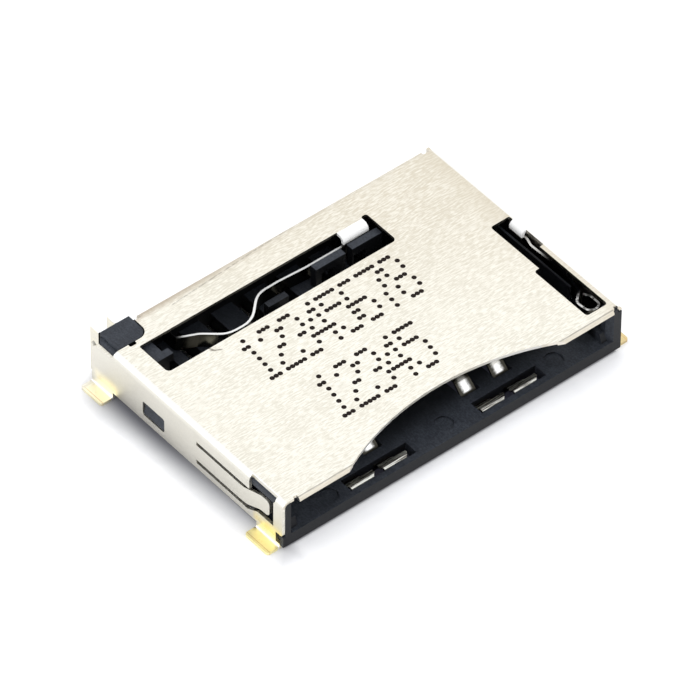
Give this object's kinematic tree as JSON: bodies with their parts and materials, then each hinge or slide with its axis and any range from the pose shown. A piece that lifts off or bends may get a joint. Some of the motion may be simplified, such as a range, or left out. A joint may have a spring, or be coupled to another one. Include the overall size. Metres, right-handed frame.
{
  "type": "memory card socket",
  "caption": "Surface-mount memory card socket with a folded metal shell over a black moulding, card contacts, a card detect spring and a side switch spring.",
  "frame": {"origin": "in the plane of the board, 0.3 mm under the middle of the housing's underside, halfway across the shell's width and halfway along its depth", "axes": "+X along the width, to the right seen from the mouth; +Y the way the card goes in; +Z away from the board"},
  "size_m": [0.0278, 0.0188, 0.0039],
  "materials": {
    "housing_plastic": "black, satin, with a fine moulded grain",
    "shell_metal": "nickel plated sheet with a fine grain along the width, pale gold at the solder feet",
    "contact_strip": "nickel plated copper alloy with gold at the contact points and tails",
    "spring_strip": "bright rolled strip"
  },
  "bodies": {
    "root": {"housing": "housing_plastic", "shell": "shell_metal", "contact_1": "contact_strip", "contact_2": "contact_strip", "contact_3": "contact_strip", "contact_4": "contact_strip", "contact_5": "contact_strip", "contact_6": "contact_strip", "contact_7": "contact_strip", "contact_8": "contact_strip", "contact_9": "contact_strip", "contact_10": "contact_strip", "contact_11": "contact_strip", "contact_12": "contact_strip", "contact_13": "contact_strip", "card_detect_spring": "spring_strip", "side_switch_spring": "spring_strip"}
  },
  "joints": []
}
